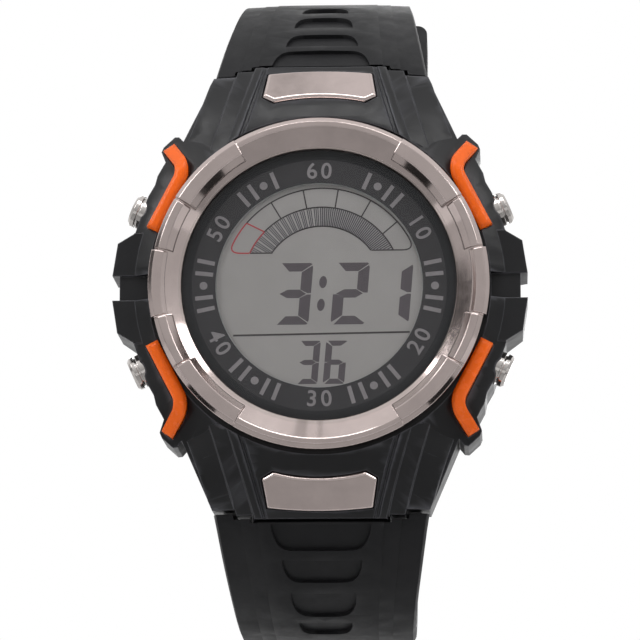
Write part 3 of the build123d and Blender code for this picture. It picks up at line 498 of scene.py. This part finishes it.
bm = bmesh.new()
for character, left in BIG_PLACES:
    figure(bm, character, left, BIG_TOP, **BIG)
for x, z in COLON_PLACES:
    colon_dot(bm, x, z)
for character, left in SMALL_PLACES:
    figure(bm, character, left, SMALL_TOP, **SMALL)
mesh_object("display_figures", bm, mats["ink_dark"])

# Display: gauge of seven cells over a hatched band, and the line under the figures. Angles are in degrees.

GAUGE = (0.3, 0.0)
R_OUT, R_CELL, R_BAND = 11.1, 8.93, 6.76
# Heights of the gauge's flat feet
LOW_LEFT, LOW_RIGHT = 3.74, 3.97
LINE = 0.15
# Ends of the outer and the cell arc: at the right, at the red cell's side, and at the left
RIGHT_OUT, RIGHT_CELL = 27.4, 26.5
RED_OUT, RED_CELL = 139.7, 136.3
LEFT_OUT, LEFT_CELL = 154.5, 155.2
BAND_ENDS = (146.2, 35.8)
CELL_SIDES = (40.5, 60.4, 80.5, 101.0, 121.0)
RIGHT_CORNER, RIGHT_FOOT, RIGHT_STOP = 10.7, 9.3, 5.84
LEFT_CORNER, LEFT_FOOT, LEFT_STOP = -10.2, -8.77, -7.85
BAND_FOOT = (-7.8, -5.24)
RULE = ((-9.63, -5.61), (10.1, -5.35))
RULE_WIDTH = 0.21

FINE_COUNT, FINE_FIRST, FINE_PITCH, FINE_WIDTH = 42, 91.0, 1.55, 0.125
GROUP_COUNT, GROUP_FIRST, GROUP_PITCH = 12, 153.5, 5.25
GROUP_LINES, GROUP_LINE_PITCH, GROUP_WIDTH = 3, 1.4, 0.1


def outer_edge(start, end, low, corner, foot, stop):
    """The gauge's outer arc, rounded into its flat foot at one end."""
    points = arc(R_OUT, start, end, GAUGE)
    return points + bend(points[-1], (corner, low), (foot, low))[1:] + [(stop, low)]


def hatch(bm, angle, width):
    """One hatch line of the gauge's band, cut off at the band's flat foot."""
    low = (LOW_LEFT if angle > 90 else LOW_RIGHT) + LINE / 2
    start = max(R_BAND, low / math.sin(math.radians(angle)))
    if start < R_CELL - LINE:
        stroke(bm, [polar(start, angle, GAUGE), polar(R_CELL, angle, GAUGE)], width)


bm = bmesh.new()
stroke(bm, outer_edge(RED_OUT, RIGHT_OUT, LOW_RIGHT, RIGHT_CORNER, RIGHT_FOOT, RIGHT_STOP), LINE)
stroke(bm, arc(R_CELL, RED_CELL, RIGHT_CELL, GAUGE), LINE)
stroke(bm, arc(R_BAND, *BAND_ENDS, GAUGE), LINE)
for angle in CELL_SIDES:
    stroke(bm, [polar(R_CELL, angle, GAUGE), polar(R_OUT, angle, GAUGE)], LINE)
stroke(bm, [(x, LOW_LEFT) for x in BAND_FOOT], LINE)
stroke(bm, RULE, RULE_WIDTH)
mesh_object("display_gauge", bm, mats["ink_line"])

bm = bmesh.new()
for i in range(FINE_COUNT):
    hatch(bm, FINE_FIRST - i * FINE_PITCH, FINE_WIDTH)
for group in range(GROUP_COUNT):
    for i in range(GROUP_LINES):
        hatch(bm, GROUP_FIRST - group * GROUP_PITCH - i * GROUP_LINE_PITCH, GROUP_WIDTH)
mesh_object("display_hatch", bm, mats["ink_fine"])

bm = bmesh.new()
stroke(bm, outer_edge(RED_OUT, LEFT_OUT, LOW_LEFT, LEFT_CORNER, LEFT_FOOT, LEFT_STOP), LINE)
stroke(bm, arc(R_CELL, RED_CELL, LEFT_CELL, GAUGE), LINE)
stroke(bm, [polar(R_CELL, RED_CELL, GAUGE), polar(R_OUT, RED_OUT, GAUGE)], LINE)
mesh_object("display_red_cell", bm, mats["ink_red"])

# Printed face of the dial ring with its pale cut edge, and the lens's black border with its shallow bevel;
# that black is partly the border's own colour and partly painted shade along the bezel's inner edge.
# Each outline is a list of (radius, height) points.

CUT_EDGE = ((11.5, 11.005), (11.6, 11.005), (11.66, 11.4), (11.58, 11.4))
RING_FACE = ((11.62, 11.39), (14.3, 11.39), (14.3, 11.4035), (11.62, 11.4035))
LENS_BORDER_AND_SHADE = ((14.25, 11.402), (15.3, 11.402), (15.3, 11.43), (14.62, 11.43))


def turned_ring(name, profile, material, steps=120):
    """A ring turned from a closed outline."""
    bm = bmesh.new()
    rows = []
    for i in range(steps):
        a = 2 * math.pi * i / steps
        rows.append([bm.verts.new((r * math.cos(a) * MM, -h * MM, r * math.sin(a) * MM)) for r, h in profile])
    skin(bm, rows + rows[:1])
    bmesh.ops.recalc_face_normals(bm, faces=bm.faces)
    return mesh_object(name, bm, material)


turned_ring("ring_cut_edge", CUT_EDGE, mats["cut_edge"])
turned_ring("ring_print", RING_FACE, mats["black_print"])
turned_ring("lens_border_and_shade", LENS_BORDER_AND_SHADE, mats["edge_black"])

# Dial ring print: plain figures at six places, with bars (B) and dots (D) between

R_MID = 12.95
BAR_REACH = 1.0
BAR_WIDTH = 0.46
DOT_RADIUS = 0.45
MARK_PITCH = 6.0
MARK_GROUPS = (
    (-0.8, "BBDBB"), (180, "BBDBB"), (56.5, "BBDB"), (121.8, "BDBB"), (236.3, "BBDBB"), (298.1, "BBDBB"))
RING_FIGURES = ((90, "60"), (30, "10"), (-30, "20"), (-90, "30"), (210, "40"), (150, "50"))
TURNED_FIGURES = ("20", "30", "40")
FIGURE_SIZE = 2.5
FIGURE_PITCH = 7.2
FIGURE_SWELL = 0.035


def mark(bm, kind, angle):
    """One bar or dot of the ring."""
    if kind == "B":
        ends = [polar(R_MID - BAR_REACH, angle), polar(R_MID + BAR_REACH, angle)]
        stroke(bm, ends, BAR_WIDTH, RING)
    else:
        dot(bm, polar(R_MID, angle), DOT_RADIUS, RING)


def ring_figure(words, i, angle, turn):
    """One printed character on the ring at this angle, with its top turned from 12 o'clock."""
    cu = bpy.data.curves.new("figure_%s_%d" % (words, i), "FONT")
    cu.body = words[i]
    cu.size = FIGURE_SIZE * MM
    cu.align_x = "CENTER"
    cu.align_y = "CENTER"
    cu.extrude = PRINT / 2 * MM
    cu.offset = FIGURE_SWELL * MM
    text = bpy.data.objects.new(cu.name, cu)
    bpy.context.scene.collection.objects.link(text)
    x, z = polar(R_MID, angle)
    place = Matrix.Translation((x * MM, -(RING + PRINT / 2) * MM, z * MM))
    upright = Matrix.Rotation(math.radians(90), 4, "X")
    text.matrix_world = place @ Matrix.Rotation(-math.radians(turn), 4, "Y") @ upright
    bpy.context.view_layer.update()
    me = bpy.data.meshes.new_from_object(text.evaluated_get(bpy.context.evaluated_depsgraph_get()))
    me.transform(text.matrix_world)
    bpy.data.objects.remove(text)
    piece = bpy.data.objects.new("ring_figure_%s_%d" % (words, i), me)
    me.materials.clear()
    me.materials.append(mats["ink_grey"])
    bpy.context.scene.collection.objects.link(piece)
    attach(piece, "watch")


bm = bmesh.new()
for middle, kinds in MARK_GROUPS:
    for i, kind in enumerate(kinds):
        mark(bm, kind, middle + (i - (len(kinds) - 1) / 2) * MARK_PITCH)
mesh_object("ring_marks", bm, mats["ink_grey"])

for middle, words in RING_FIGURES:
    sign = -1 if words in TURNED_FIGURES else 1
    for i in range(len(words)):
        angle = middle + sign * (0.5 - i) * FIGURE_PITCH
        ring_figure(words, i, angle, turn=angle - sign * 90)

SLIGHTLY_SOFT = (
    "strap_upper", "strap_lower", "buckle_frame", "keeper", "buckle_prong", "plate_upper", "plate_lower")
soften("case", width_mm=0.1, angle=15)
for name in SLIGHTLY_SOFT:
    soften(name, width_mm=0.12)
for corner in CORNERS:
    soften("trim_" + corner, width_mm=0.2, segments=3)

# Pusher springs, wound, one along each pusher's axis

PUSHER_HEIGHT = 7.8
PUSHER_ANGLES = {"upper_right": 24.2, "upper_left": 155.8, "lower_left": 204.2, "lower_right": -24.2}
SPRING_START, SPRING_END = 17.87, 19.93
SPRING_LENGTH = SPRING_END - SPRING_START
SPRING_RADIUS = 1.25
SPRING_TURNS = 3.5
WIRE = 0.28
STEPS_PER_TURN = 20
WIRE_SIDES = 8


def outward(angle):
    """Direction away from the watch's middle at this angle."""
    return Vector((math.cos(math.radians(angle)), 0, math.sin(math.radians(angle))))


def coil(name, out, material):
    """A wound spring along a pusher's axis."""
    towards_back = Vector((0, 1, 0))
    across = out.cross(towards_back)
    steps = int(SPRING_TURNS * STEPS_PER_TURN)
    bm = bmesh.new()
    rows = []
    for i in range(steps + 1):
        t = i / steps
        a = 2 * math.pi * SPRING_TURNS * t
        spoke = towards_back * math.cos(a) + across * math.sin(a)
        reach = SPRING_START + WIRE / 2 + (SPRING_LENGTH - WIRE) * t
        middle = out * reach + spoke * SPRING_RADIUS - towards_back * PUSHER_HEIGHT
        row = []
        for j in range(WIRE_SIDES):
            b = 2 * math.pi * j / WIRE_SIDES
            row.append(bm.verts.new((middle + (spoke * math.cos(b) + out * math.sin(b)) * WIRE / 2) * MM))
        rows.append(row)
    skin(bm, rows)
    bm.faces.new(rows[0])
    bm.faces.new(list(reversed(rows[-1])))
    bmesh.ops.recalc_face_normals(bm, faces=bm.faces)
    for f in bm.faces:
        f.smooth = True
    return mesh_object(name, bm, material)


for corner, angle in PUSHER_ANGLES.items():
    out = outward(angle)
    piece = coil("wound_spring_" + corner, out, mats["steel"])
    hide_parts("pusher_spring_" + corner)
    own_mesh(piece)

# Inner lips of the case behind both seams, beside the strap's knuckles

LIP_X = (8.1, 11.2)
LIP_Y = (-2.3, -0.7)
LIP_Z = (24.7, 25.7)


def block(name, x, y, z, material):
    """A plain block that fills three ranges in mm."""
    bm = bmesh.new()
    bmesh.ops.create_cube(bm, size=1.0)
    for v in bm.verts:
        for k, (low, high) in enumerate((x, y, z)):
            v.co[k] = (low + (high - low) * (v.co[k] + 0.5)) * MM
    return mesh_object(name, bm, material)


for side, side_name in ((-1, "left"), (1, "right")):
    for end, end_name in ((-1, "lower"), (1, "upper")):
        x = sorted(side * v for v in LIP_X)
        z = sorted(end * v for v in LIP_Z)
        block("seam_lip_%s_%s" % (side_name, end_name), x, LIP_Y, z, mats["black_resin"])


# Studio. Sizes and places are in metres from here on.

FLOOR_Z = -0.105
FLOOR_RADIUS = 3.0
FLOOR_SIDES = 64
FLOOR_DARK, FLOOR_LIGHT = (0.80, 0.80, 0.80, 1), (0.82, 0.82, 0.82, 1)
FLOOR_GLOW_NEAR, FLOOR_GLOW_FAR = 0.4, 1.0
FLOOR_NEAR, FLOOR_FAR = 0.2, 1.2
WORLD_LIGHT = 0.18
WORLD_SEEN = 1.0
WHITE = (1, 1, 1, 1)
MIDDLE = (0, 0, 0)


def seen(tree):
    """1 on rays that come from the camera, a reflection or a see-through surface, and 0 on others."""
    path = tree.nodes.new("ShaderNodeLightPath")
    value = path.outputs["Is Camera Ray"]
    for kind in ("Is Glossy Ray", "Is Transmission Ray"):
        n = tree.nodes.new("ShaderNodeMath")
        n.operation = "MAXIMUM"
        tree.links.new(value, n.inputs[0])
        tree.links.new(path.outputs[kind], n.inputs[1])
        value = n.outputs[0]
    return value


# Matt white floor that glows more with distance where it is seen, so that it fades into the world
m = Mat("floor").set(spec=0.2)
m.colour(m.two_tone(m.noise(size_mm=60.0, detail=3.0, rough=0.5), FLOOR_DARK, FLOOR_LIGHT))
m.rough(m.span(m.noise(size_mm=20.0, detail=2.0, rough=0.5), lo=0.7, hi=0.8))
far = m.node("ShaderNodeVectorMath", operation="LENGTH")
m.link(m.place, far.inputs[0])
fade = m.span(far.outputs["Value"], lo=FLOOR_GLOW_NEAR, hi=FLOOR_GLOW_FAR, low=FLOOR_NEAR, high=FLOOR_FAR)
m.mixed(m.math("MULTIPLY", seen(m.tree), fade), m.shader, m.node("ShaderNodeEmission"))

bm = bmesh.new()
bmesh.ops.create_circle(bm, cap_ends=True, radius=FLOOR_RADIUS, segments=FLOOR_SIDES)
me = bpy.data.meshes.new("floor")
bm.to_mesh(me)
bm.free()
floor = bpy.data.objects.new("floor", me)
floor.location = (0, 0, FLOOR_Z)
me.materials.append(mats["floor"])
bpy.context.scene.collection.objects.link(floor)

# World: weak where it lights, white where it is seen
world = bpy.data.worlds.new("studio")
bpy.context.scene.world = world
world.use_nodes = True
tree = world.node_tree
tree.nodes.clear()
world_out = tree.nodes.new("ShaderNodeOutputWorld")
mix = tree.nodes.new("ShaderNodeMixShader")
tree.links.new(seen(tree), mix.inputs[0])
for socket, strength in ((1, WORLD_LIGHT), (2, WORLD_SEEN)):
    background = tree.nodes.new("ShaderNodeBackground")
    background.inputs["Color"].default_value = WHITE
    background.inputs["Strength"].default_value = strength
    tree.links.new(background.outputs[0], mix.inputs[socket])
tree.links.new(mix.outputs[0], world_out.inputs["Surface"])


def lamp(name, place, size, power, target=MIDDLE):
    """A soft lamp aimed at a point, not seen by the camera."""
    data = bpy.data.lights.new(name, "AREA")
    data.shape = "RECTANGLE"
    data.size, data.size_y = size
    data.energy = power
    o = bpy.data.objects.new(name, data)
    o.location = place
    o.rotation_euler = (Vector(target) - Vector(place)).to_track_quat("-Z", "Y").to_euler()
    o.visible_camera = False
    bpy.context.scene.collection.objects.link(o)


lamp("key", place=(0.0, -0.35, 0.5), size=(0.35, 0.25), power=1.35)
lamp("high_left", place=(-0.45, -0.3, 0.35), size=(0.25, 0.25), power=1.2)
lamp("high_right", place=(0.45, -0.3, 0.35), size=(0.25, 0.25), power=1.0)
lamp("left", place=(-0.55, -0.25, 0.1), size=(0.2, 0.5), power=0.5)
lamp("right", place=(0.55, -0.25, 0.05), size=(0.2, 0.5), power=0.5)
lamp("rear", place=(0.0, 0.6, 0.2), size=(0.3, 0.3), power=0.8, target=(0, 0.02, 0))


def card(name, centre, normal, size, low, high):
    """A card that only reflections see: its grey runs from low at its foot to high at its top."""
    bm = bmesh.new()
    bmesh.ops.create_grid(bm, x_segments=1, y_segments=1, size=0.5)
    me = bpy.data.meshes.new(name)
    bm.to_mesh(me)
    bm.free()
    o = bpy.data.objects.new(name, me)
    o.scale = (size[0], size[1], 1)
    o.location = centre
    o.rotation_euler = Vector(normal).to_track_quat("Z", "Y").to_euler()
    m = Mat(name)
    m.tree.nodes.remove(m.shader)
    split = m.node("ShaderNodeSeparateXYZ")
    m.link(m.place, split.inputs[0])
    glow = m.node("ShaderNodeEmission")
    m.link(m.span(split.outputs["Y"], lo=low, hi=high, low=-0.5, high=0.5), glow.inputs["Strength"])
    m.link(glow.outputs[0], m.out.inputs["Surface"])
    me.materials.append(mats[name])
    o.visible_camera = False
    o.visible_diffuse = False
    o.visible_shadow = False
    o.visible_transmission = False
    bpy.context.scene.collection.objects.link(o)


card("card_front", centre=(0.0, -0.75, 0.05), normal=(0, 1, 0), size=(1.6, 0.9), low=0.2, high=0.9)
card("card_left", centre=(-0.5, -0.1, 0.0), normal=(1, 0, 0), size=(0.7, 0.8), low=0.45, high=0.85)
card("card_left_dark", centre=(-0.45, -0.2, 0.0), normal=(1, 0.4, 0), size=(0.06, 0.8), low=0.03, high=0.1)
card("card_left_low", centre=(-0.45, 0.04, 0.0), normal=(1, 0.2, 0), size=(0.04, 0.8), low=0.05, high=0.1)
card("card_right", centre=(0.5, -0.1, 0.0), normal=(-1, 0, 0), size=(0.7, 0.8), low=0.45, high=0.85)
card("card_right_dark", centre=(0.45, -0.16, 0.0), normal=(-1, 0.4, 0), size=(0.06, 0.8), low=0.03, high=0.1)
card("card_low", centre=(0.0, -0.12, -0.1), normal=(0, 0, 1), size=(0.5, 0.2), low=0.55, high=0.35)
for side in (-1, 1):
    card("card_streak_%d" % (side + 1), centre=(side * 0.135, -0.04, -0.098), normal=(0, 0, 1),
         size=(0.07, 0.06), low=0.02, high=0.04)
card("card_high", centre=(0.022, -0.12, 0.5), normal=(0, 0, -1), size=(0.03, 0.3), low=0.6, high=0.75)
card("card_high_left", centre=(-0.03, -0.12, 0.5), normal=(0, 0, -1), size=(0.012, 0.3), low=0.6, high=0.7)

# Camera: just below the dial's axis and a little to the right, as in the photograph

AZIMUTH, ELEVATION = math.radians(2.7), math.radians(-10.0)
DISTANCE_MM = 450.0
PIXELS_PER_MM = 9.0
PICTURE_PIXELS = 640.0
SENSOR_MM = 36.0
SHIFT_RIGHT_MM = 2.0 / PIXELS_PER_MM
SHIFT_DOWN_MM = 39.4 / PIXELS_PER_MM
FACE = Vector((0, -0.014, 0))

level = math.cos(ELEVATION)
back = Vector((math.sin(AZIMUTH) * level, -math.cos(AZIMUTH) * level, math.sin(ELEVATION)))
right = Vector((math.cos(AZIMUTH), math.sin(AZIMUTH), 0))
up = right.cross(-back)
data = bpy.data.cameras.new("camera")
data.sensor_width = SENSOR_MM
data.lens = SENSOR_MM * PIXELS_PER_MM * DISTANCE_MM / PICTURE_PIXELS
data.clip_start = 0.01
data.clip_end = 20.0
camera = bpy.data.objects.new("camera", data)
camera.location = FACE + (back * DISTANCE_MM + right * SHIFT_RIGHT_MM - up * SHIFT_DOWN_MM) * MM
camera.rotation_mode = "QUATERNION"
camera.rotation_quaternion = Matrix((right, up, back)).transposed().to_quaternion()
bpy.context.scene.collection.objects.link(camera)
bpy.context.scene.camera = camera

bpy.context.scene.view_settings.view_transform = "Standard"

bpy.context.view_layer.update()
